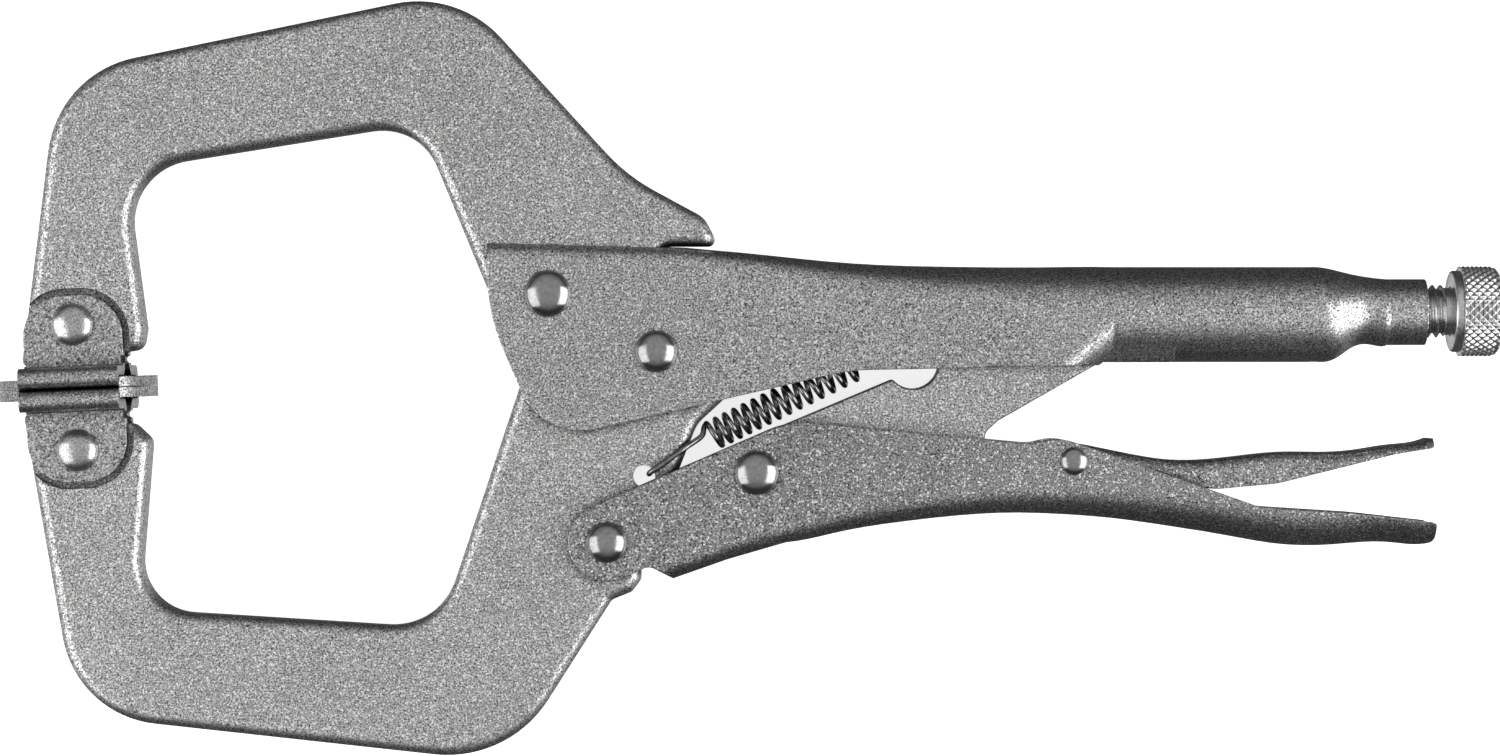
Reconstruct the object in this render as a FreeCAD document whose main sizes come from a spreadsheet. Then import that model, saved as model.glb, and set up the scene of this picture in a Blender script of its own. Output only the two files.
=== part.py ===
import FreeCAD, Part
import Sketcher
import math
import os

# Locking C clamp, lying flat. The frame: +X along the handle to the adjusting knob, +Y towards the
# fixed jaw, +Z up through the thickness of the jaws. The origin is the centre of the fixed pad's face.
# All lengths are in millimetres and all angles in degrees.

DIMENSIONS = {
    # pivots, as places in the plane of the clamp
    "jaw_pivot_x": 107.9, "jaw_pivot_y": 6.9,
    "handle_pivot_x": 98.7, "handle_pivot_y": -28.5,
    "link_pivot_x": 126.5, "link_pivot_y": -15.6,
    "lever_pivot_x": 185.2, "lever_pivot_y": -13.4,
    "jaw_rivet_x": 87.8, "jaw_rivet_y": 17.6,
    "nose_x": 202.7, "nose_y": 13.5,
    # flat steel
    "jaw_thickness": 9.0, "tip_thickness": 6.0, "link_thickness": 8.4, "edge_round": 2.2,
    "link_edge_round": 0.5, "spot_face_margin": 1.3, "spring_hole_radius": 2.15,
    "spring_hole_x": 105.5, "spring_hole_y": -16.4,
    # pressed sheet steel
    "upper_gauge": 2.0, "lower_gauge": 1.8, "lever_gauge": 1.6, "pad_gauge": 1.9,
    "upper_half_width": 6.7, "lower_half_width": 6.5, "lower_rear_half_width": 8.2,
    "jaw_slot_end": 109.9, "jaw_slot_play": 0.4, "link_slot_width": 9.2, "link_slot_end": 204.0,
    "lip_length": 13.0, "tab_width": 3.0, "tab_x": 150.0,
    # tube, neck and adjusting screw
    "tube_radius": 8.87, "tube_axis_y": 13.8, "neck_bore_radius": 5.0, "neck_bore_length": 26.3,
    "neck_bore_x": 240.0,
    "screw_axis_y": 14.4, "screw_radius": 4.95, "screw_length": 46.3, "screw_start_x": 208.3,
    "stem_radius": 4.4, "stem_length": 8.4, "knob_radius": 8.5, "knob_length": 7.6,
    "knob_bore_radius": 4.45, "collar_radius": 7.6, "collar_length": 1.4,
    "collar_bevel": 0.9, "collar_gap": 1.3,
    # rivets
    "rivet_shank": 3.0, "pivot_clearance": 0.05, "jaw_rivet_head": 4.3, "pivot_rivet_head": 3.9,
    "handle_rivet_head": 3.8, "link_rivet_head": 4.1, "head_rise": 2.1,
    "lever_rivet_shank": 1.5, "lever_rivet_head": 2.55, "lever_head_rise": 1.2, "lever_rivet_play": 0.04,
    "pad_rivet_shank": 2.6, "pad_rivet_head": 3.9, "pad_head_rise": 1.9,
    # swivel pads
    "pad_disc_radius": 14.65, "pad_fold": 11.35, "pad_half_width": 9.2, "pad_hem_gap": 0.2,
    "ear_height": 17.3, "ear_corner": 7.6, "ear_inside": 3.1, "pad_tilt": 2.4, "pad_gap": 0.08,
    "fixed_pad_reach": 11.9, "moving_pad_reach": 11.38,
    # return spring
    "coil_radius": 3.0, "wire_radius": 0.53, "spring_slope": 26.0, "coil_length": 30.0,
    "coil_start_x": 118.9, "coil_start_y": -8.5,
}

document = FreeCAD.newDocument("locking_c_clamp")
sheet = document.addObject("Spreadsheet::Sheet", "dims")
for row, (alias, value) in enumerate(DIMENSIONS.items(), start=1):
    sheet.set("A%d" % row, alias)
    sheet.set("B%d" % row, str(value))
    sheet.setAlias("B%d" % row, alias)
document.recompute()

vector = FreeCAD.Vector
nodes = []


def dim(alias):
    return float(sheet.get(alias))


def point(name):
    return vector(dim(name + "_x"), dim(name + "_y"), 0)


# ---------------------------------------------------------------- sketches

def rounded(corners):
    """Lines and tangent arcs of a closed outline, from its corners (x, y, radius)."""
    places = [vector(corner[0], corner[1], 0) for corner in corners]
    radii = [corner[2] if len(corner) > 2 else 0 for corner in corners]
    arcs = []
    ends = []
    for index, place in enumerate(places):
        back = (places[index - 1] - place).normalize()
        ahead = (places[(index + 1) % len(places)] - place).normalize()
        if radii[index] == 0:
            ends.append((place, place))
            continue
        half_angle = back.getAngle(ahead) / 2
        reach = radii[index] / math.tan(half_angle)
        centre = place + (back + ahead).normalize() * (radii[index] / math.sin(half_angle))
        middle = centre + (place - centre).normalize() * radii[index]
        first = place + back * reach
        last = place + ahead * reach
        arcs.append(Part.Arc(first, middle, last))
        ends.append((first, last))
    lines = []
    for index, (_, last) in enumerate(ends):
        following = ends[(index + 1) % len(ends)][0]
        if last.distanceToPoint(following) > 1e-6:
            lines.append(Part.LineSegment(last, following))
    return lines + arcs


def rectangle(left, low, right, high):
    return rounded([(left, low), (right, low), (right, high), (left, high)])


def sketch_on(body, role, curves, offset=0):
    """A sketch on one of the body's origin planes, moved along that plane's normal."""
    sketch = body.newObject("Sketcher::SketchObject", body.Name + "_sketch")
    plane = next(item for item in body.Origin.OriginFeatures if item.Role == role)
    sketch.AttachmentSupport = (plane, [""])
    sketch.MapMode = "FlatFace"
    sketch.AttachmentOffset = FreeCAD.Placement(vector(0, 0, offset), FreeCAD.Rotation())
    for curve in curves:
        sketch.addGeometry(curve)
    return sketch


def circle_on(body, role, centre, radius_expression):
    """A sketch of one circle whose radius is bound to the sheet."""
    circle = Part.Circle(vector(centre[0], centre[1], 0), vector(0, 0, 1), 1.0)
    sketch = sketch_on(body, role, [circle])
    sketch.addConstraint(Sketcher.Constraint("Radius", 0, 1.0))
    sketch.renameConstraint(0, "radius")
    sketch.setExpression("Constraints.radius", radius_expression)
    return sketch


# ---------------------------------------------------------------- features

def new_body(name):
    body = document.addObject("PartDesign::Body", name)
    body.Label = name
    nodes.append(body)
    return body


def pad(body, sketch, length_expression):
    """Pads a sketch by the same amount to both sides of its plane."""
    feature = body.newObject("PartDesign::Pad", body.Name + "_pad")
    feature.Profile = sketch
    feature.SideType = "Symmetric"
    feature.setExpression("Length", length_expression)
    document.recompute()
    return feature


def pocket_through(body, sketch):
    """Cuts a sketch through everything, to both sides of its plane."""
    before = body.Shape.Volume
    feature = body.newObject("PartDesign::Pocket", body.Name + "_pocket")
    feature.Profile = sketch
    feature.SideType = "Symmetric"
    feature.Type = "ThroughAll"
    document.recompute()
    assert body.Shape.Volume < before - 1e-3, "pocket cut nothing in " + body.Name
    return feature


def pocket_deep(body, sketch, length_expression):
    """Cuts a sketch to a total depth, half of it to each side of its plane."""
    before = body.Shape.Volume
    feature = body.newObject("PartDesign::Pocket", body.Name + "_pocket")
    feature.Profile = sketch
    feature.SideType = "Symmetric"
    feature.setExpression("Length", length_expression)
    document.recompute()
    assert body.Shape.Volume < before - 1e-3, "pocket cut nothing in " + body.Name
    return feature


def drill(body, centre, radius_expression):
    pocket_through(body, circle_on(body, "XY_Plane", centre, radius_expression))


def round_edges(body, chosen, radius_expression):
    """Fillets the edges of the body's tip for which chosen(edge) is true."""
    base = body.Tip
    names = ["Edge%d" % (i + 1) for i, edge in enumerate(base.Shape.Edges) if chosen(edge)]
    feature = body.newObject("PartDesign::Fillet", body.Name + "_fillet")
    feature.Base = (base, names)
    feature.setExpression("Radius", radius_expression)
    document.recompute()
    assert not feature.Shape.isNull(), "fillet failed in " + body.Name
    return feature


def on_broad_face(edge, height):
    return all(abs(abs(vertex.Z) - height) < 1e-6 for vertex in edge.Vertexes)


def eased(keys, count):
    """Stations at even steps along a smooth curve through the key stations (cubic Hermite)."""
    def slope(index):
        before = keys[max(index - 1, 0)]
        after = keys[min(index + 1, len(keys) - 1)]
        return [(b - a) / (after[0] - before[0]) for a, b in zip(before, after)]

    stations = []
    for step in range(count + 1):
        x = keys[0][0] + (keys[-1][0] - keys[0][0]) * step / count
        index = max(i for i in range(len(keys) - 1) if keys[i][0] <= x + 1e-9)
        start, end = keys[index], keys[index + 1]
        width = end[0] - start[0]
        t = (x - start[0]) / width
        weights = (2 * t**3 - 3 * t**2 + 1, (t**3 - 2 * t**2 + t) * width, 3 * t**2 - 2 * t**3,
                   (t**3 - t**2) * width)
        parts = zip(start, slope(index), end, slope(index + 1))
        station = [sum(weight * value for weight, value in zip(weights, four)) for four in parts]
        stations.append(tuple(station))
    return stations


def loft(body, stations, inset=0, cut=False, ruled=False):
    """Joins rounded sections across X. A station is x, half width, low y, high y, low and high corner."""
    sections = []
    for x, half, low, high, low_corner, high_corner in stations:
        low_round = max(low_corner - inset, 0.4)
        high_round = max(high_corner - inset, 0.4)
        side = half - inset
        corners = [
            (low + inset, -side, low_round),
            (high - inset, -side, high_round),
            (high - inset, side, high_round),
            (low + inset, side, low_round),
        ]
        sections.append(sketch_on(body, "YZ_Plane", rounded(corners), x))
    kind = "PartDesign::SubtractiveLoft" if cut else "PartDesign::AdditiveLoft"
    feature = body.newObject(kind, body.Name + "_loft")
    feature.Profile = sections[0]
    feature.Sections = sections[1:]
    feature.Ruled = ruled
    document.recompute()
    return feature


def trim_to(body, outline, margin_box):
    """Removes all that lies outside a side outline."""
    frame = rectangle(*margin_box) + rounded(outline)
    return pocket_through(body, sketch_on(body, "XY_Plane", frame))


def rivet(name, centre, half_grip, shank_alias, head_alias, rise_alias):
    """A shank with a domed head at each end, upright at centre."""
    shank = document.addObject("Part::Cylinder", name + "_shank")
    shank.setExpression("Radius", "dims." + shank_alias)
    shank.Height = 2 * half_grip
    shank.Placement.Base = centre - vector(0, 0, half_grip)
    parts = [shank]
    for side, turn in ((1, 0), (-1, 180)):
        dome = document.addObject("Part::Ellipsoid", name + "_dome")
        dome.setExpression("Radius1", "dims." + rise_alias)
        dome.setExpression("Radius2", "dims." + head_alias)
        dome.setExpression("Radius3", "dims." + head_alias)
        dome.Angle1 = 0
        rotation = FreeCAD.Rotation(vector(1, 0, 0), turn)
        dome.Placement = FreeCAD.Placement(centre + vector(0, 0, side * half_grip), rotation)
        parts.append(dome)
    fuse = document.addObject("Part::MultiFuse", name)
    fuse.Shapes = parts
    fuse.Label = name
    nodes.append(fuse)


# ---------------------------------------------------------------- jaws

HALF_JAW = dim("jaw_thickness") / 2
PAD_NORMAL = vector(-math.sin(math.radians(dim("pad_tilt"))), math.cos(math.radians(dim("pad_tilt"))), 0)
FIXED_PAD_PIVOT = PAD_NORMAL * dim("fixed_pad_reach")
MOVING_PAD_FACE = PAD_NORMAL * -dim("pad_gap")
MOVING_PAD_PIVOT = MOVING_PAD_FACE - PAD_NORMAL * dim("moving_pad_reach")


def thin_tip(body, pivot, towards):
    """Mills both sides of a jaw's tip to the shape of the pad's ears, with room for them to swivel."""
    up = PAD_NORMAL * towards
    across = vector(PAD_NORMAL.y, -PAD_NORMAL.x, 0)
    margin = dim("spot_face_margin")
    side = across * (dim("pad_half_width") + margin)
    top = pivot + up * (dim("ear_height") - abs(pivot.dot(PAD_NORMAL)) + margin)
    end = pivot - up * dim("ear_height")
    radius = dim("ear_corner") + margin
    corners = []
    for place, corner in ((end - side, 0), (end + side, 0), (top + side, radius), (top - side, radius)):
        corners.append((place.x, place.y, corner))
    depth = dim("jaw_thickness")
    for side in (1, -1):
        offset = side * (dim("tip_thickness") + depth) / 2
        sketch = sketch_on(body, "XY_Plane", rounded(corners), offset)
        pocket_deep(body, sketch, "dims.jaw_thickness")


def fixed_jaw():
    body = new_body("fixed_jaw")
    hub = point("jaw_pivot")
    hub_gap = 9.7
    outline = [
        (-10.3, 3.8, 1.2), (-3.6, 58.6, 20.3), (70.9, 74.1, 20.9), (102.4, 39.6, 34.7),
        (116.8, 31.8, 4.9), (119.5, 26.5, 1.3), (108.5, 26.5), (108.5, hub.y + hub_gap),
        (hub.x - hub_gap, hub.y + hub_gap, hub_gap - 0.1), (hub.x - hub_gap, 5.3), (82.7, 3.3),
        (63.6, 49.5, 11.4), (8.7, 40.7, 11.6), (12.7, 11.1, 1.3), (12.1, 7.3, 2.2),
    ]
    pad(body, sketch_on(body, "XY_Plane", rounded(outline)), "dims.jaw_thickness")

    round_edges(body, lambda edge: on_broad_face(edge, HALF_JAW), "dims.edge_round")
    thin_tip(body, FIXED_PAD_PIVOT, 1)
    drill(body, FIXED_PAD_PIVOT, "dims.pad_rivet_shank")
    drill(body, point("jaw_rivet"), "dims.rivet_shank")


def moving_jaw():
    body = new_body("moving_jaw")
    hub = point("jaw_pivot")
    hub_radius = 9.0
    outline = [
        (-10.0, -4.4, 1.2), (-0.1, -60.8, 19.6), (80.3, -69.6, 22.2), (99.6, -39.3, 1.5),
        (103.3, -37.8, 1.5), (105.0, -35.6, 1.5), (105.0, -29.6, 3.7), (110.8, -18.1, 3.7),
        (115.4, -6.6, 5.6), (121.7, -0.8, 1.5), (hub.x + hub_radius, hub.y + hub_radius, 8.0),
        (hub.x - hub_radius, hub.y + hub_radius, hub_radius - 0.1), (hub.x - hub_radius, 4.8),
        (83.1, 2.5), (67.4, -44.7, 12.5), (11.3, -41.2, 9.9), (13.8, -9.6, 2.2), (10.7, -6.6, 2.2),
    ]
    pad(body, sketch_on(body, "XY_Plane", rounded(outline)), "dims.jaw_thickness")

    round_edges(body, lambda edge: on_broad_face(edge, HALF_JAW), "dims.edge_round")
    thin_tip(body, MOVING_PAD_PIVOT, -1)
    drill(body, MOVING_PAD_PIVOT, "dims.pad_rivet_shank")
    drill(body, hub, "dims.rivet_shank + dims.pivot_clearance")
    drill(body, point("handle_pivot"), "dims.rivet_shank")
    drill(body, point("spring_hole"), "dims.spring_hole_radius")


# ---------------------------------------------------------------- pressed channels

def upper_handle():
    body = new_body("upper_handle")
    radius = dim("tube_radius")
    low = dim("tube_axis_y") - radius
    high = dim("tube_axis_y") + radius
    tube = (radius, low, high, radius - 0.05, radius - 0.05)
    slim = dim("upper_half_width")
    front = [(75.5, slim, -22, 27.2, 3.0, 3.0), (113.0, slim, -22, 26.2, 3.0, 3.0)]
    channel = eased([
        front[1], (123.4, 6.8, -20, 25.3, 3.0, 3.6), (145.8, 7.7, -14, 23.2, 3.0, 5.5),
        (170.0, 8.6, -9, 22.6, 3.5, 7.8), (182.0, 8.8, -2, high, 6.0, 8.5), (192.5,) + tube,
    ], 9)
    shoulder = [(229.5,) + tube, (231.2,) + tube]
    for x, bottom, top in ((233.9, 5.3, 22.2), (236.3, 6.8, 21.6), (239.1, 8.2, 21.0), (244.0, 8.1, 20.4)):
        half = (top - bottom) / 2
        shoulder.append((x, half, bottom, top, half - 0.05, half - 0.05))
    neck = [shoulder[-1], (251.1,) + shoulder[-1][1:]]
    straight = [channel[-1], shoulder[0]]
    loft(body, front, ruled=True)
    loft(body, channel)
    loft(body, straight, ruled=True)
    loft(body, shoulder)
    loft(body, neck, ruled=True)

    gauge = dim("upper_gauge")
    loft(body, front, gauge, cut=True, ruled=True)
    loft(body, channel, gauge, cut=True)
    loft(body, straight, gauge, cut=True, ruled=True)

    below = [
        (60, 40), (76.6, 40), (76.6, 14.0, 35.1), (86.9, -9.8, 12.1), (143.8, 3.4, 37.3), (200, 4.5),
        (200, -70), (60, -70),
    ]
    pocket_through(body, sketch_on(body, "XY_Plane", rounded(below)))
    # The roof is slotted for the fixed jaw. Below the tube's front the two edges of the sheet turn
    # straight down, as tangents to the tube, and stay apart for the link.
    jaw_slot = sketch_on(body, "XY_Plane", rectangle(70, 18, dim("jaw_slot_end"), 32))
    pocket_deep(body, jaw_slot, "dims.jaw_thickness + dims.jaw_slot_play")
    slot_end = dim("link_slot_end")
    half = dim("link_slot_width") / 2
    flank = 2 * math.atan(half / radius)
    touch_y = dim("tube_axis_y") - radius * math.cos(flank)
    touch_z = radius * math.sin(flank)
    lips = []
    for side in (1, -1):
        lips += rounded([(low, side * half), (touch_y, side * touch_z), (touch_y, side * half)])
    pad(body, sketch_on(body, "YZ_Plane", lips, slot_end - dim("lip_length") / 2), "dims.lip_length")
    link_slot = sketch_on(body, "XY_Plane", rectangle(165, -20, slot_end, 12))
    pocket_deep(body, link_slot, "dims.link_slot_width")
    drill(body, point("jaw_rivet"), "dims.rivet_shank")
    drill(body, point("jaw_pivot"), "dims.rivet_shank")

    bore = circle_on(body, "YZ_Plane", (dim("screw_axis_y"), 0), "dims.neck_bore_radius")
    bore.AttachmentOffset = FreeCAD.Placement(vector(0, 0, dim("neck_bore_x")), FreeCAD.Rotation())
    pocket_deep(body, bore, "dims.neck_bore_length")

    tab_x = dim("tab_x")
    tab = sketch_on(body, "XY_Plane", rectangle(tab_x, 5.2, tab_x + gauge, 22))
    pad(body, tab, "dims.tab_width")


def lower_handle():
    body = new_body("lower_handle")
    slim = dim("lower_half_width")
    wide = dim("lower_rear_half_width")
    # each station: x, half width, bottom y, bottom corner
    front = [
        (88.0, slim, -44.2, 3.6), (110.9, slim, -35.35, 3.6), (121.0, slim, -31.8, 3.6),
        (132.0, slim, -28.6, 3.6),
    ]
    rear = [
        front[-1], (144.9, 7.2, -26.1, 4.0), (157.0, 8.0, -24.3, 4.5), (172.9, wide, -23.1, 5.0),
        (191.5, wide, -24.0, 5.8), (210.2, wide, -26.7, 6.8), (224.2, wide, -29.0, 7.4),
        (238.2, wide, -28.9, 7.4), (254.0, wide, -27.9, 7.0),
    ]
    gauge = dim("lower_gauge")
    straight = [(x, half, bottom, 12, corner, 3.0) for x, half, bottom, corner in front]
    curved = [(x, half, bottom, 12, corner, 3.0) for x, half, bottom, corner in eased(rear, 12)]
    loft(body, straight, ruled=True)
    loft(body, curved)
    loft(body, straight, gauge, cut=True, ruled=True)
    loft(body, curved, gauge, cut=True)

    eye = point("handle_pivot")
    eye_radius = 7.15
    along = vector(0.917, 0.399, 0)
    across = vector(-0.399, 0.917, 0)
    eye_top = eye + (across - along) * eye_radius
    eye_bottom = eye - (across + along) * eye_radius
    outline = [
        (eye_top.x, eye_top.y, eye_radius), (132.7, -6.0, 16.8), (177.4, -10.2, 7.5), (182.6, -9.0, 9.3),
        (220.2, -22.1, 12.0), (238.0, -23.2, 30.0), (252.4, -24.8, 0.8), (252.4, -28.6, 2.4),
        (240.0, -36), (110.9, -50), (110.9, -35.2),
        (106.6, -32.9, 2.2), (eye_bottom.x, eye_bottom.y, eye_radius),
    ]
    trim_to(body, outline, (80, -80, 270, 40))
    drill(body, eye, "dims.rivet_shank + dims.pivot_clearance")
    drill(body, point("link_pivot"), "dims.rivet_shank")
    drill(body, point("lever_pivot"), "dims.lever_rivet_shank")


def release_lever():
    body = new_body("release_lever")
    top = [
        (162.5, 5.9, -18.2), (168.5, 5.9, -16.6), (172.5, 5.9, -13.6), (179.1, 5.9, -10.7),
        (184.9, 5.9, -10.0), (191.4, 5.9, -11.2), (201.6, 5.9, -13.1), (209.0, 5.9, -13.3),
        (217.0, 5.9, -12.5), (225.0, 6.2, -11.8), (234.7, 6.8, -11.8), (243.6, 7.3, -10.7), (252.0, 7.6, -9.1),
    ]
    channel = [(x, half, -40, high, 2.0, 2.2) for x, half, high in eased(top, 13)]
    loft(body, channel)
    loft(body, channel[:-1], dim("lever_gauge"), cut=True)
    outline = [
        (163.0, 5), (251.8, 5), (251.8, -11.0, 0.4), (244.5, -12.2, 12), (223.0, -17.6, 12),
        (212.0, -18.6, 8), (185.0, -17.4, 10), (163.0, -20.4),
    ]
    trim_to(body, outline, (150, -60, 270, 20))
    drill(body, point("lever_pivot"), "dims.lever_rivet_shank + dims.pivot_clearance")


def toggle_link():
    body = new_body("toggle_link")
    outline = [
        (120.3, -11.5, 6.2), (153.5, 2.5), (160.5, 6.6, 1.5), (205.8, 17.2, 2.8), (205.8, 11.3, 2.8),
        (196.0, 8.1, 8), (171.3, -6.0), (168.9, -8.2, 2.0), (168.9, -12.8, 1.5), (120.3, -23.3, 6.2),
    ]
    pad(body, sketch_on(body, "XY_Plane", rounded(outline)), "dims.link_thickness")
    notch = Part.Circle(vector(155.5, 4.9, 0), vector(0, 0, 1), 4.9)
    pocket_through(body, sketch_on(body, "XY_Plane", [notch]))
    half = dim("link_thickness") / 2
    round_edges(body, lambda edge: on_broad_face(edge, half), "dims.link_edge_round")
    drill(body, point("link_pivot"), "dims.rivet_shank + dims.pivot_clearance")


# ---------------------------------------------------------------- swivel pads

def swivel_pad(name, reach_alias, face, turn):
    """A stamped disc whose two hemmed sides fold back in and then stand up as ears."""
    body = new_body(name)
    radius = dim("pad_disc_radius")
    fold = dim("pad_fold")
    gauge = dim("pad_gauge")
    gap = dim("pad_hem_gap")
    chord = math.sqrt(radius ** 2 - fold ** 2)
    right = Part.Arc(vector(chord, -fold, 0), vector(radius, 0, 0), vector(chord, fold, 0))
    left = Part.Arc(vector(-chord, fold, 0), vector(-radius, 0, 0), vector(-chord, -fold, 0))
    high = Part.LineSegment(vector(chord, fold, 0), vector(-chord, fold, 0))
    low = Part.LineSegment(vector(-chord, -fold, 0), vector(chord, -fold, 0))
    disc = body.newObject("PartDesign::Pad", name + "_disc")
    disc.Profile = sketch_on(body, "XZ_Plane", [right, high, left, low])
    disc.Reversed = True
    disc.setExpression("Length", "dims.pad_gauge")
    document.recompute()

    hem_top = 2 * gauge + gap
    roll = hem_top / 2
    inside = dim("ear_inside")
    outside = inside + gauge
    height = dim("ear_height")
    strips = []
    for side in (1, -1):
        strip = [
            (0, 9), (0, fold + roll, roll - 0.02), (hem_top, fold + roll, roll - 0.02),
            (hem_top, outside, 0.5), (height, outside), (height, inside),
            (gauge + gap, inside, gauge + 0.5), (gauge + gap, fold), (gauge, fold), (gauge, 9),
        ]
        strips += rounded([(corner[0], side * corner[1]) + tuple(corner[2:]) for corner in strip])
    pad(body, sketch_on(body, "YZ_Plane", strips), "2 * dims.pad_half_width")

    half = dim("pad_half_width")
    corner = dim("ear_corner")
    base = hem_top + 0.6
    waste = [
        (-20, base), (-20, 30), (20, 30), (20, base), (half, base), (half, height, corner),
        (-half, height, corner), (-half, base),
    ]
    pocket_through(body, sketch_on(body, "XY_Plane", rounded(waste)))
    for side in (1, -1):
        relief = Part.Circle(vector(side * half, base + 0.5, 0), vector(0, 0, 1), 0.7)
        pocket_through(body, sketch_on(body, "XY_Plane", [relief]))
    drill(body, (0, dim(reach_alias)), "dims.pad_rivet_shank + dims.pivot_clearance")
    tilt = FreeCAD.Rotation(vector(0, 0, 1), dim("pad_tilt"))
    flip = FreeCAD.Rotation(vector(1, 0, 0), turn)
    body.Placement = FreeCAD.Placement(face, tilt.multiply(flip))


# ---------------------------------------------------------------- adjusting screw, knob and spring

def turned(name, radius_expression, length_expression, start_x):
    """A cylinder along the screw's axis."""
    cylinder = document.addObject("Part::Cylinder", name)
    cylinder.setExpression("Radius", radius_expression)
    cylinder.setExpression("Height", length_expression)
    place = vector(start_x, dim("screw_axis_y"), 0)
    cylinder.Placement = FreeCAD.Placement(place, FreeCAD.Rotation(vector(0, 1, 0), 90))
    return cylinder


def adjusting_screw():
    start = dim("screw_start_x")
    end = start + dim("screw_length")
    thread = turned("screw_thread", "dims.screw_radius", "dims.screw_length", start)
    stem = turned("screw_stem", "dims.stem_radius", "dims.stem_length", end)
    fuse = document.addObject("Part::MultiFuse", "adjusting_screw")
    fuse.Shapes = [thread, stem]
    fuse.Label = "adjusting_screw"
    nodes.append(fuse)


def adjusting_knob():
    gap = dim("collar_gap")
    start = dim("screw_start_x") + dim("screw_length") + gap
    collar = document.addObject("Part::Cone", "knob_collar")
    collar.setExpression("Radius1", "dims.collar_radius - dims.collar_bevel")
    collar.setExpression("Radius2", "dims.collar_radius")
    collar.setExpression("Height", "dims.collar_length")
    place = vector(start, dim("screw_axis_y"), 0)
    collar.Placement = FreeCAD.Placement(place, FreeCAD.Rotation(vector(0, 1, 0), 90))
    head = turned("knob_head", "dims.knob_radius", "dims.knob_length", start + dim("collar_length"))
    fuse = document.addObject("Part::MultiFuse", "knob_solid")
    fuse.Shapes = [collar, head]
    bore = turned("knob_bore", "dims.knob_bore_radius", "dims.stem_length + 0.1", start - gap)
    knob = document.addObject("Part::Cut", "adjusting_knob")
    knob.Base = fuse
    knob.Tool = bore
    knob.Label = "adjusting_knob"
    nodes.append(knob)


def wire_run(route, radius):
    """A round wire along straight runs, with a ball at each bend."""
    solid = None
    for first, last in zip(route, route[1:]):
        run = Part.makeCylinder(radius, first.distanceToPoint(last), first, last - first)
        run = run.fuse(Part.makeSphere(radius, last))
        solid = run if solid is None else solid.fuse(run)
    return solid


def jaw_spring():
    """The coil as a plain sleeve of its outer size, with its front hook in the moving jaw."""
    slope = math.radians(dim("spring_slope"))
    axis = vector(math.cos(slope), math.sin(slope), 0)
    start = point("coil_start")
    length = dim("coil_length")
    wire = dim("wire_radius")
    outer = Part.makeCylinder(dim("coil_radius"), length, start, axis)
    inner = Part.makeCylinder(dim("coil_radius") - 2 * wire, length, start, axis)
    coil = outer.cut(inner)
    above = HALF_JAW + wire + 0.1
    rim = start + vector(-math.sin(slope), math.cos(slope), 0) * (dim("coil_radius") - wire)
    hook = [
        rim + axis, rim - axis * 0.6, vector(116.4, -8.9, 3.6), vector(114.8, -10.0, above),
        vector(106.3, -16.0, above), vector(106.3, -16.0, -2.0),
    ]
    solid = coil.fuse(wire_run(hook, wire))
    feature = document.addObject("Part::Feature", "jaw_spring")
    feature.Shape = solid.removeSplitter()
    feature.Label = "jaw_spring"
    nodes.append(feature)


# ---------------------------------------------------------------- the assembly

def rivets():
    upper = dim("upper_half_width")
    lower = dim("lower_half_width") + dim("pivot_clearance")
    rear = dim("lower_rear_half_width") + dim("lever_rivet_play")
    ear = dim("ear_inside") + dim("pad_gauge") + dim("pivot_clearance")
    rivet("fixed_jaw_rivet", point("jaw_rivet"), upper, "rivet_shank", "jaw_rivet_head", "head_rise")
    rivet("jaw_pivot_rivet", point("jaw_pivot"), upper, "rivet_shank", "pivot_rivet_head", "head_rise")
    rivet("handle_pivot_rivet", point("handle_pivot"), lower, "rivet_shank", "handle_rivet_head", "head_rise")
    rivet("link_pivot_rivet", point("link_pivot"), lower, "rivet_shank", "link_rivet_head", "head_rise")
    rivet("lever_pivot_rivet", point("lever_pivot"), rear, "lever_rivet_shank", "lever_rivet_head",
          "lever_head_rise")
    rivet("fixed_pad_rivet", FIXED_PAD_PIVOT, ear, "pad_rivet_shank", "pad_rivet_head", "pad_head_rise")
    rivet("moving_pad_rivet", MOVING_PAD_PIVOT, ear, "pad_rivet_shank", "pad_rivet_head", "pad_head_rise")


upper_handle()
fixed_jaw()
moving_jaw()
lower_handle()
release_lever()
toggle_link()
swivel_pad("fixed_pad", "fixed_pad_reach", vector(0, 0, 0), 0)
swivel_pad("moving_pad", "moving_pad_reach", MOVING_PAD_FACE, 180)
rivets()
adjusting_screw()
adjusting_knob()
jaw_spring()
document.recompute()

for item in document.Objects:
    assert "Invalid" not in item.State and "Error" not in item.State, item.Name + " failed"

os.makedirs("parts", exist_ok=True)
for node in nodes:
    shape = node.Shape
    assert not shape.isNull() and shape.isValid(), node.Label + " has no valid shape"
    shape.exportStep(os.path.join("parts", node.Label + ".step"))
    print(node.Label, len(shape.Solids), round(shape.Volume, 1))
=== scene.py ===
import math

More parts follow.
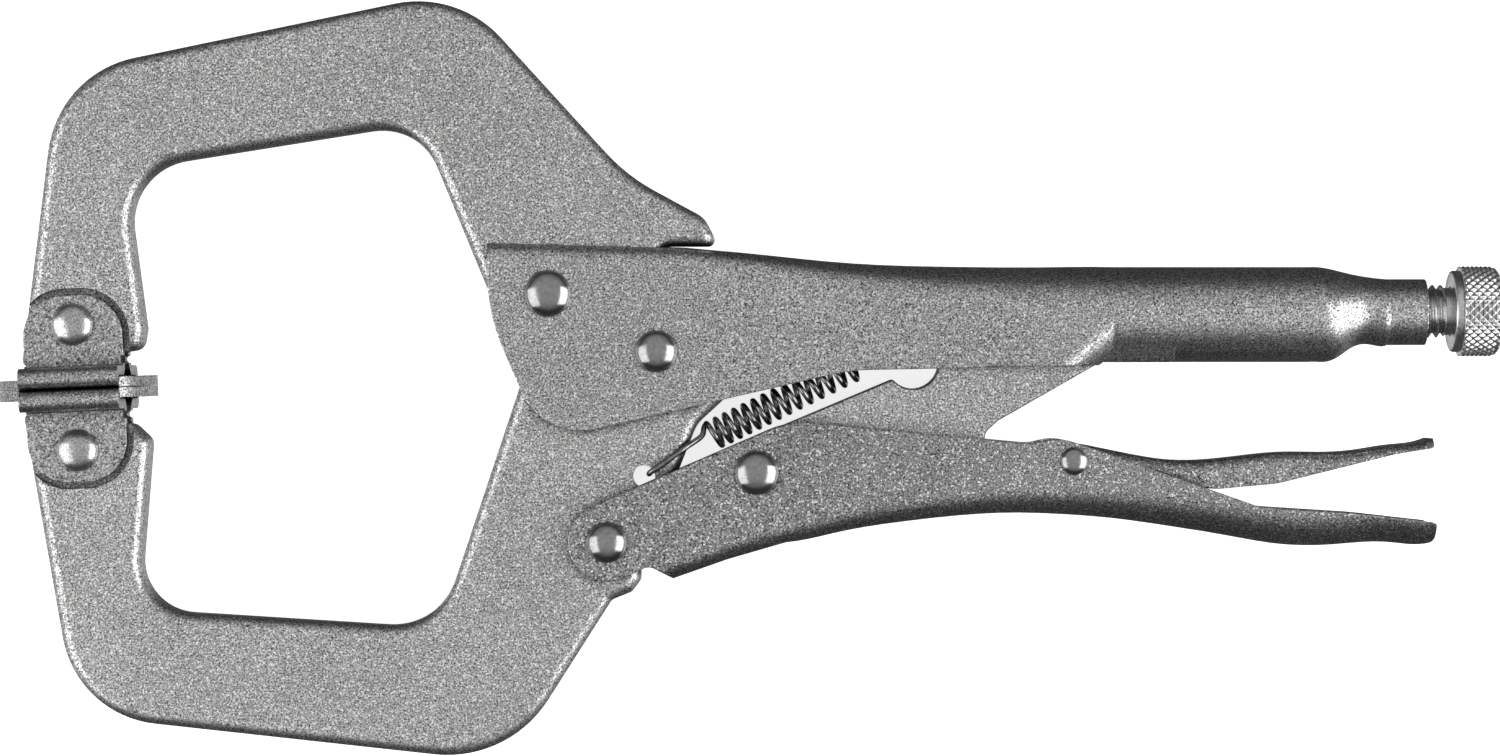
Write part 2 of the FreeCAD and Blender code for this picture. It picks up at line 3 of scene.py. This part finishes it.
import bpy
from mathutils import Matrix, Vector


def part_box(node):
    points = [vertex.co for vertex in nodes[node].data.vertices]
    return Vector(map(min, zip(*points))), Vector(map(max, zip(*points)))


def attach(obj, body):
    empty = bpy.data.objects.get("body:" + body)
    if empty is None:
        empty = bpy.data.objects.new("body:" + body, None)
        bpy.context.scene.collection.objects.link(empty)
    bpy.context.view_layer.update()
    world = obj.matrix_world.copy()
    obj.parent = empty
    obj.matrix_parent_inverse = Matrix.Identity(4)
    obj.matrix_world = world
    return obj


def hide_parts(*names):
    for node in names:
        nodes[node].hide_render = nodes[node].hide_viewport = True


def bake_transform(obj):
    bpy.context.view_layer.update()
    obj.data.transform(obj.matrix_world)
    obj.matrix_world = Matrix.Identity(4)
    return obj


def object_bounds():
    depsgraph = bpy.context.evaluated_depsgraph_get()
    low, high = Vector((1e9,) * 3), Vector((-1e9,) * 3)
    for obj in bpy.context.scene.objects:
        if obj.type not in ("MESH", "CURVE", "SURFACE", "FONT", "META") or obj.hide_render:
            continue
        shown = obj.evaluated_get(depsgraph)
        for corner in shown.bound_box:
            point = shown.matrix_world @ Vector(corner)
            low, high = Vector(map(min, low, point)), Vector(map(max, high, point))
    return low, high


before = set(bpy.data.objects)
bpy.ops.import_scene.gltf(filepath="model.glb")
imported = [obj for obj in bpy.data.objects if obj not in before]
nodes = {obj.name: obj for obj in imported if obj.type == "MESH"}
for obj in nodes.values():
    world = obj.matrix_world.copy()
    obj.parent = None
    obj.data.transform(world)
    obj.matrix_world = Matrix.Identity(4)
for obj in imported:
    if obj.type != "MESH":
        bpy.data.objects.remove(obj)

# A locking C clamp lying flat, in metres: +X to the adjusting knob, +Y to the fixed jaw, +Z up.

MM = 0.001
cad_low, cad_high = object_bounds()

# the screw's line, from the CAD knob
knob_low, knob_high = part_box("adjusting_knob")
SCREW_Y = (knob_low.y + knob_high.y) / 2
KNOB_RADIUS = (knob_high.y - knob_low.y) / 2

# the screw's stem and thread, as the CAD screw has them
STEM_RADIUS = 4.4 * MM
STEM_LENGTH = 8.4 * MM
THREAD_PITCH = 1.5 * MM
THREAD_DEPTH = 0.86 * MM


# ---------------------------------------------------------------- shader helpers

class Shader:
    """A material's node tree, with short ways to add and join nodes."""

    def __init__(self, name, metallic=1.0):
        self.material = bpy.data.materials.new(name)
        self.material.use_nodes = True
        self.tree = self.material.node_tree
        self.surface = self.tree.nodes["Principled BSDF"]
        self.surface.inputs["Metallic"].default_value = metallic
        self.place = self.add("ShaderNodeTexCoord").outputs["Object"]

    def add(self, kind, **settings):
        node = self.tree.nodes.new(kind)
        for name, value in settings.items():
            setattr(node, name, value)
        return node

    def join(self, source, target):
        self.tree.links.new(source, target)

    def noise(self, scale, detail=2.0, roughness=0.5, place=None):
        node = self.add("ShaderNodeTexNoise")
        node.inputs["Scale"].default_value = scale
        node.inputs["Detail"].default_value = detail
        node.inputs["Roughness"].default_value = roughness
        self.join(place or self.place, node.inputs["Vector"])
        return node.outputs["Fac"]

    def stretched(self, scale):
        node = self.add("ShaderNodeMapping")
        node.inputs["Scale"].default_value = scale
        self.join(self.place, node.inputs["Vector"])
        return node.outputs["Vector"]

    def ramp(self, source, low, high, from_value, to_value):
        node = self.add("ShaderNodeMapRange")
        node.inputs["From Min"].default_value = low
        node.inputs["From Max"].default_value = high
        node.inputs["To Min"].default_value = from_value
        node.inputs["To Max"].default_value = to_value
        self.join(source, node.inputs["Value"])
        return node.outputs["Result"]

    def math(self, operation, first, second):
        node = self.add("ShaderNodeMath", operation=operation)
        for socket, value in zip(node.inputs, (first, second)):
            if isinstance(value, (int, float)):
                socket.default_value = value
            else:
                self.join(value, socket)
        return node.outputs["Value"]

    def grey(self, value, tint=(1.0, 1.0, 1.0)):
        """A grey level as a colour, with a tint."""
        node = self.add("ShaderNodeCombineColor")
        for socket, share in zip(node.inputs, tint):
            self.join(self.math("MULTIPLY", value, share), socket)
        return node.outputs["Color"]

    def bump(self, height, distance, strength=1.0, base=None):
        node = self.add("ShaderNodeBump")
        if base:
            self.join(base, node.inputs["Normal"])
        node.inputs["Distance"].default_value = distance
        node.inputs["Strength"].default_value = strength
        self.join(height, node.inputs["Height"])
        self.join(node.outputs["Normal"], self.surface.inputs["Normal"])


def blasted_plate(name, level, roughness, grain=3300.0, depth=0.020, sparkle=1.5, share=0.84,
                  rim=0.45, contrast=1.0, darkest=0.16):
    """Bead-blasted nickel plate: a fine grain of pits, bright facets, faint cloudy patches, and painted
    shade in the corners and where parts meet, darkened by ambient occlusion. rim is how far the cut edges
    look worn round, in millimetres, and darkest is how much of the tone the painted shade leaves in the
    deepest corner."""
    shader = Shader(name)
    fine = shader.noise(grain, 2.0, 0.6)
    cloud = shader.noise(38.0, 3.0)
    cells = shader.add("ShaderNodeTexVoronoi")
    cells.inputs["Scale"].default_value = grain * 1.1
    shader.join(shader.place, cells.inputs["Vector"])
    facet = shader.add("ShaderNodeSeparateColor")
    shader.join(cells.outputs["Color"], facet.inputs["Color"])
    bright = shader.ramp(facet.outputs["Red"], share, 0.98, 0.0, 1.0)
    tone = shader.ramp(fine, 0.32, 0.68, level * (1 - contrast), level * (1 + contrast))
    tone = shader.math("MULTIPLY", tone, shader.ramp(cloud, 0.3, 0.7, 0.93, 1.07))
    tone = shader.math("MULTIPLY", tone, shader.ramp(facet.outputs["Green"], 0.0, 1.0, 0.78, 1.18))
    tone = shader.math("ADD", tone, shader.math("MULTIPLY", bright, sparkle * level))
    # Painted shade: ambient occlusion darkens the base colour in corners, recesses and along the contact
    # lines where parts overlap.
    corner = shader.add("ShaderNodeAmbientOcclusion", samples=6)
    corner.inputs["Distance"].default_value = 2.2 * MM
    painted_shade = shader.ramp(corner.outputs["AO"], 0.40, 0.85, darkest, 1.0)
    tone = shader.math("MULTIPLY", tone, painted_shade)
    shader.join(shader.grey(tone, (1.0, 1.0, 0.99)), shader.surface.inputs["Base Color"])
    rough = shader.ramp(fine, 0.3, 0.7, roughness + 0.08, roughness - 0.06)
    rough = shader.math("SUBTRACT", rough, shader.math("MULTIPLY", bright, 0.10))
    shader.join(rough, shader.surface.inputs["Roughness"])
    height = shader.math("ADD", fine, shader.math("MULTIPLY", facet.outputs["Green"], 0.45))
    worn = shader.add("ShaderNodeBevel", samples=6)
    worn.inputs["Radius"].default_value = rim * MM
    shader.bump(height, depth * MM, base=worn.outputs["Normal"])
    return shader.material


def polished_dome(name):
    """Pressed and polished rivet heads, with faint scuffs."""
    shader = Shader(name)
    scuff = shader.noise(1400.0, 4.0, 0.7)
    cloud = shader.noise(260.0, 2.0)
    tone = shader.ramp(scuff, 0.3, 0.7, 0.25, 0.38)
    shader.join(shader.grey(tone), shader.surface.inputs["Base Color"])
    shader.join(shader.ramp(cloud, 0.3, 0.7, 0.13, 0.24), shader.surface.inputs["Roughness"])
    shader.bump(scuff, 0.004 * MM)
    return shader.material


def blasted_dome(name):
    """Rivet heads that were blasted and plated with the pads: soft, with a fine grain."""
    shader = Shader(name)
    fine = shader.noise(3600.0, 2.0, 0.6)
    cloud = shader.noise(300.0, 2.0)
    speckle = shader.ramp(fine, 0.32, 0.68, 0.22, 0.72)
    tone = shader.math("MULTIPLY", speckle, shader.ramp(cloud, 0.3, 0.7, 0.88, 1.08))
    shader.join(shader.grey(tone), shader.surface.inputs["Base Color"])
    shader.join(shader.ramp(fine, 0.3, 0.7, 0.30, 0.22), shader.surface.inputs["Roughness"])
    shader.bump(fine, 0.012 * MM)
    return shader.material


def bright_steel(name, level, roughness, stretch):
    """Cut or rolled bright steel, with fine lines that run round the screw's axis."""
    shader = Shader(name)
    lines = shader.noise(1.0, 3.0, 0.6, shader.stretched(stretch))
    spots = shader.noise(1800.0, 2.0)
    tone = shader.ramp(lines, 0.3, 0.7, level * 0.75, level * 1.15)
    tone = shader.math("MULTIPLY", tone, shader.ramp(spots, 0.35, 0.65, 0.88, 1.06))
    shader.join(shader.grey(tone), shader.surface.inputs["Base Color"])
    shader.join(shader.ramp(spots, 0.3, 0.7, roughness - 0.05, roughness + 0.08),
                shader.surface.inputs["Roughness"])
    shader.bump(lines, 0.006 * MM)
    return shader.material


def spring_wire(name):
    """Dark drawn wire with a glossy oiled skin."""
    shader = Shader(name)
    streaks = shader.noise(900.0, 3.0, 0.6)
    shader.join(shader.grey(shader.ramp(streaks, 0.3, 0.7, 0.14, 0.30), (1.0, 0.99, 0.98)),
                shader.surface.inputs["Base Color"])
    shader.join(shader.ramp(streaks, 0.3, 0.7, 0.16, 0.30), shader.surface.inputs["Roughness"])
    shader.bump(streaks, 0.004 * MM)
    return shader.material


def dress_cad_nodes():
    """Gives every CAD node its finish."""
    # Each blasted_plate finish has painted shade from ambient occlusion in corners and where parts meet;
    # darkest sets how dark it gets.
    sheet = blasted_plate("plated_sheet", 0.38, 0.36)
    dark_sheet = blasted_plate("plated_dark_sheet", 0.29, 0.38, sparkle=3.4, share=0.88)
    bar = blasted_plate("plated_bar", 0.40, 0.42, rim=0.2, darkest=0.28)
    stamped = blasted_plate("plated_pad", 0.34, 0.34, rim=0.3)
    dome = polished_dome("polished_rivet")
    pad_dome = blasted_dome("blasted_rivet")
    finishes = {
        "upper_handle": sheet, "lower_handle": dark_sheet, "release_lever": dark_sheet,
        "fixed_jaw": bar, "moving_jaw": bar, "toggle_link": bar,
        "fixed_pad": stamped, "moving_pad": stamped,
        "fixed_pad_rivet": pad_dome, "moving_pad_rivet": pad_dome,
    }
    for name, node in nodes.items():
        node.data.materials.clear()
        node.data.materials.append(finishes.get(name, dome))


# ---------------------------------------------------------------- meshes about the screw's axis

def new_mesh(name, points, faces, material):
    mesh = bpy.data.meshes.new(name)
    mesh.from_pydata(points, [], faces)
    mesh.validate()
    mesh.materials.append(material)
    for polygon in mesh.polygons:
        polygon.use_smooth = True
    mesh.set_sharp_from_angle(angle=math.radians(55))
    piece = bpy.data.objects.new(name, mesh)
    bpy.context.scene.collection.objects.link(piece)
    return piece


def ring_point(x, radius, angle):
    return (x, SCREW_Y + radius * math.cos(angle), radius * math.sin(angle))


def turned_mesh(name, stations, sides, material, cut=None):
    """A closed turned piece from (x, radius) stations, with an optional cut depth at (x, angle)."""
    points = []
    for x, radius in stations:
        for side in range(sides):
            angle = 2 * math.pi * side / sides
            depth = cut(x, angle) if cut else 0.0
            points.append(ring_point(x, radius - depth, angle))
    faces = []
    for row in range(len(stations) - 1):
        for side in range(sides):
            near = row * sides
            far = near + sides
            after = (side + 1) % sides
            faces.append((near + side, near + after, far + after, far + side))
    faces.append(tuple(reversed(range(sides))))
    faces.append(tuple(range(len(points) - sides, len(points))))
    return new_mesh(name, points, faces, material)


def adjusting_screw(material):
    """The adjusting screw with its helical thread, and the plain stem that carries the knob."""
    low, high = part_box("adjusting_screw")
    pitch = THREAD_PITCH
    crest = (high.y - low.y) / 2
    root = crest - THREAD_DEPTH
    stem = STEM_RADIUS
    start = low.x
    end = high.x - STEM_LENGTH
    per_turn = 12
    sides = 60
    shape = [0.0, 0.04, 0.22, 0.45, 0.68, 0.90, 1.0, 0.90, 0.68, 0.45, 0.22, 0.04]
    rows = int((end - start) / pitch * per_turn) + 1
    points = []
    for row in range(-per_turn, rows + 1):
        for side in range(sides):
            x = start + pitch / per_turn * (row + per_turn * side / sides)
            radius = root + (crest - root) * shape[row % per_turn]
            if x <= start:
                x, radius = start, root
            elif x >= end:
                x, radius = end, stem
            else:
                radius = min(radius, root + (x - start) * 0.8)
            points.append(ring_point(x, radius, 2 * math.pi * side / sides))
    faces = []
    total = rows + 1 + per_turn
    for row in range(total - 1):
        for side in range(sides):
            here = row * sides + side
            if side < sides - 1:
                faces.append((here, here + 1, here + sides + 1, here + sides))
            elif row + per_turn + 1 < total:
                wrap = (row + per_turn) * sides
                faces.append((here, wrap, wrap + sides, here + sides))
    first_cap = len(points)
    for side in range(sides):
        points.append(ring_point(high.x, stem, 2 * math.pi * side / sides))
    last_row = (total - 1) * sides
    for side in range(sides):
        after = (side + 1) % sides
        faces.append((last_row + side, last_row + after, first_cap + after, first_cap + side))
    faces.append(tuple(range(first_cap, first_cap + sides)))
    faces.append(tuple(reversed(range(sides))))
    piece = new_mesh("threaded_screw", points, faces, material)
    weld = piece.modifiers.new("weld", "WELD")
    weld.merge_threshold = 0.00001
    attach(piece, "screw_body")
    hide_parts("adjusting_screw")


def knurl(x, angle):
    """Depth of the crossed grooves of the diamond knurl."""
    starts = 33
    step = 1.62 * MM
    depth = 0.56 * MM
    around = angle * starts / (2 * math.pi)
    along = x / step
    first = abs((around + along) % 1.0 - 0.5) * 2
    second = abs((around - along) % 1.0 - 0.5) * 2
    return depth * min(1.0, max(first, second) * 1.05)


def adjusting_knob(material):
    """The knob: a thin collar, then the knurled head with a rounded rear corner."""
    bore = 4.45 * MM
    collar_end = knob_low.x + 1.55 * MM
    collar = 7.6 * MM
    stations = [
        (knob_low.x + 0.30 * MM, bore), (knob_low.x, bore + 0.2 * MM), (knob_low.x, collar - 0.5 * MM),
        (knob_low.x + 0.15 * MM, collar - 0.15 * MM), (knob_low.x + 0.45 * MM, collar),
        (collar_end - 0.05 * MM, collar), (collar_end, collar - 0.08 * MM),
    ]
    head_length = knob_high.x - collar_end
    front = 0.35 * MM
    rear = 2.0 * MM
    count = 72
    for index in range(count + 1):
        x = collar_end + head_length * index / count
        radius = KNOB_RADIUS
        into_front = collar_end + front - x
        into_rear = x - (knob_high.x - rear)
        if into_front > 0:
            radius -= front - math.sqrt(max(0.0, front ** 2 - into_front ** 2))
        if into_rear > 0:
            radius -= rear - math.sqrt(max(0.0, rear ** 2 - into_rear ** 2))
        stations.append((x, radius))
    stations += [(knob_high.x, KNOB_RADIUS - rear - 0.3 * MM), (knob_high.x - 0.25 * MM, 4.4 * MM),
                 (knob_high.x - 0.3 * MM, 1.2 * MM)]

    def cut(x, angle):
        fade_front = (x - collar_end - 0.10 * MM) / (0.3 * MM)
        fade_rear = (knob_high.x - 0.25 * MM - x) / (1.3 * MM)
        return knurl(x, angle) * max(0.0, min(1.0, fade_front, fade_rear))

    piece = turned_mesh("knurled_knob", stations, 400, material, cut)
    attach(piece, "knob_body")
    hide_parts("adjusting_knob")


# ---------------------------------------------------------------- return spring

def tube(name, route, radius, sides, material):
    """A round wire that follows a route of points."""
    points = []
    normal = Vector((0, 0, 1))
    count = len(route)
    for index, place in enumerate(route):
        ahead = route[min(index + 1, count - 1)] - route[max(index - 1, 0)]
        ahead.normalize()
        normal = (normal - ahead * normal.dot(ahead)).normalized()
        across = ahead.cross(normal)
        for side in range(sides):
            angle = 2 * math.pi * side / sides
            points.append(place + (normal * math.cos(angle) + across * math.sin(angle)) * radius)
    faces = []
    for row in range(count - 1):
        for side in range(sides):
            here = row * sides
            after = (side + 1) % sides
            faces.append((here + side, here + after, here + sides + after, here + sides + side))
    faces.append(tuple(reversed(range(sides))))
    faces.append(tuple(range(len(points) - sides, len(points))))
    return new_mesh(name, points, faces, material)


def eased_route(corners, steps=10):
    """A smooth line through a few corners."""
    route = []
    for index in range(len(corners) - 1):
        before = corners[max(index - 1, 0)]
        first = corners[index]
        second = corners[index + 1]
        beyond = corners[min(index + 2, len(corners) - 1)]
        for step in range(steps):
            t = step / steps
            route.append(0.5 * (2 * first + (second - before) * t
                                + (2 * before - 5 * first + 4 * second - beyond) * t ** 2
                                + (3 * first - before - 3 * second + beyond) * t ** 3))
    route.append(corners[-1])
    return route


def jaw_spring(material):
    """The return spring: a coil that opens out towards the handle, with a hook at each end."""
    slope = math.radians(26.0)
    along = Vector((math.cos(slope), math.sin(slope), 0))
    up = Vector((-math.sin(slope), math.cos(slope), 0))
    near = Vector((0, 0, 1))
    start = Vector((118.2, -8.75, 0)) * MM
    wire = 0.53 * MM
    coil = 2.47 * MM
    turns = 14
    steps = 36
    first_pitch = 1.80 * MM
    last_pitch = 2.50 * MM
    helix = []
    for step in range(turns * steps + 1):
        turn = step / steps
        forward = first_pitch * turn + (last_pitch - first_pitch) * turn ** 2 / (2 * turns)
        angle = 2 * math.pi * turn
        helix.append(start + along * forward + up * coil * math.cos(angle) + near * coil * math.sin(angle))
    jaw_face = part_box("moving_jaw")[1].z
    over = jaw_face + wire + 0.05 * MM
    front_hook = [
        Vector((106.55 * MM, -15.85 * MM, jaw_face - 3.0 * MM)),
        Vector((106.55 * MM, -15.8 * MM, jaw_face - 0.6 * MM)),
        Vector((107.1 * MM, -15.3 * MM, over)),
        Vector((109.6 * MM, -13.6 * MM, over)),
        Vector((113.2 * MM, -11.0 * MM, over - 0.3 * MM)),
        Vector((116.2 * MM, -8.9 * MM, 2.6 * MM)),
        Vector((116.7 * MM, -7.3 * MM, 1.0 * MM)),
    ]
    end = helix[-1]
    tab_x = 151.0 * MM
    rear_hook = [
        end + along * 1.2 * MM - near * 0.2 * MM,
        Vector((tab_x - 2.2 * MM, 6.9 * MM, 2.2 * MM)),
        Vector((tab_x + 0.8 * MM, 7.6 * MM, 2.2 * MM)),
        Vector((tab_x + 1.75 * MM, 7.8 * MM, 0)),
        Vector((tab_x + 0.8 * MM, 7.6 * MM, -2.2 * MM)),
        Vector((tab_x - 1.6 * MM, 7.0 * MM, -2.2 * MM)),
    ]
    route = eased_route(front_hook + [helix[0]])[:-1] + helix + eased_route([end] + rear_hook)[1:]
    piece = tube("return_spring", route, wire, 14, material)
    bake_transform(piece)
    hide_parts("jaw_spring")


# ---------------------------------------------------------------- stage

def floor():
    """A pale table top under the clamp."""
    half = 3.0
    level = cad_low.z
    points = [(-half, -half, level), (half, -half, level), (half, half, level), (-half, half, level)]
    shader = Shader("pale_paper", metallic=0.0)
    paper = shader.noise(300.0, 3.0)
    shader.join(shader.grey(shader.ramp(paper, 0.3, 0.7, 0.90, 0.93)), shader.surface.inputs["Base Color"])
    shader.surface.inputs["Roughness"].default_value = 0.9
    shader.surface.inputs["Specular IOR Level"].default_value = 0.1
    shader.surface.inputs["Emission Color"].default_value = (1.0, 1.0, 1.0, 1.0)
    shader.surface.inputs["Emission Strength"].default_value = 0.75
    sheet = new_mesh("floor", points, [(0, 1, 2, 3)], shader.material)
    sheet.visible_glossy = False


def soft_box(name, place, size, power, aim=(0.12, 0.0, 0.0)):
    lamp = bpy.data.lights.new(name, "AREA")
    lamp.shape = "RECTANGLE"
    lamp.size, lamp.size_y = size
    lamp.energy = power
    box = bpy.data.objects.new(name, lamp)
    box.location = place
    box.rotation_mode = "QUATERNION"
    box.rotation_quaternion = (Vector(aim) - Vector(place)).to_track_quat("-Z", "Y")
    bpy.context.scene.collection.objects.link(box)


def studio():
    """Soft boxes at both sides of a room that glows overhead and, below the horizon, to both sides.
    It is dark before and behind."""
    soft_box("left_box", (-0.62, -0.16, 0.50), (0.9, 0.8), 5.0)
    soft_box("right_box", (0.88, -0.10, 0.50), (0.9, 0.8), 8.0)
    world = bpy.data.worlds.new("room")
    bpy.context.scene.world = world
    world.use_nodes = True
    tree = world.node_tree

    def add(kind, **settings):
        node = tree.nodes.new(kind)
        for name, value in settings.items():
            setattr(node, name, value)
        return node

    def smooth(source, low, high, from_value, to_value):
        node = add("ShaderNodeMapRange", interpolation_type="SMOOTHSTEP")
        sockets = ("From Min", "From Max", "To Min", "To Max")
        for name, value in zip(sockets, (low, high, from_value, to_value)):
            node.inputs[name].default_value = value
        tree.links.new(source, node.inputs["Value"])
        return node.outputs["Result"]

    def math_node(operation, first, second):
        node = add("ShaderNodeMath", operation=operation)
        for socket, value in zip(node.inputs, (first, second)):
            if isinstance(value, float):
                socket.default_value = value
            else:
                tree.links.new(value, socket)
        return node.outputs["Value"]

    direction = add("ShaderNodeTexCoord").outputs["Generated"]
    overhead = add("ShaderNodeVectorMath", operation="DOT_PRODUCT")
    overhead.inputs[1].default_value = (0.0, 0.20, 0.98)
    tree.links.new(direction, overhead.inputs[0])
    glow = smooth(overhead.outputs["Value"], 0.25, 1.0, 0.07, 0.66)
    axes = add("ShaderNodeSeparateXYZ")
    tree.links.new(direction, axes.inputs["Vector"])
    sideways = math_node("MULTIPLY", axes.outputs["X"], axes.outputs["X"])
    lengthways = math_node("MULTIPLY", axes.outputs["Y"], axes.outputs["Y"])
    share = math_node("DIVIDE", sideways, math_node("ADD", math_node("ADD", sideways, lengthways), 0.002))
    sides = smooth(share, 0.35, 0.95, 0.0, 0.60)
    below = smooth(axes.outputs["Z"], 0.15, -0.05, 0.0, 1.0)
    strength = math_node("ADD", glow, math_node("MULTIPLY", sides, below))
    tree.links.new(strength, tree.nodes["Background"].inputs["Strength"])
    tree.nodes["Background"].inputs["Color"].default_value = (1.0, 1.0, 1.0, 1.0)
    bpy.context.scene.view_settings.view_transform = "Standard"


def camera():
    """A long lens straight above the clamp."""
    height = 0.800
    width_seen = 0.280
    lens = bpy.data.cameras.new("camera")
    lens.sensor_width = 36.0
    lens.lens = lens.sensor_width * height / width_seen
    seen = bpy.data.objects.new("camera", lens)
    seen.location = (0.12526, 0.00196, height)
    bpy.context.scene.collection.objects.link(seen)
    bpy.context.scene.camera = seen


camera()
floor()
studio()
dress_cad_nodes()
adjusting_screw(bright_steel("rolled_thread", 0.60, 0.24, (2600.0, 260.0, 260.0)))
adjusting_knob(bright_steel("knurled_steel", 0.66, 0.28, (1500.0, 900.0, 900.0)))
jaw_spring(spring_wire("spring_wire"))
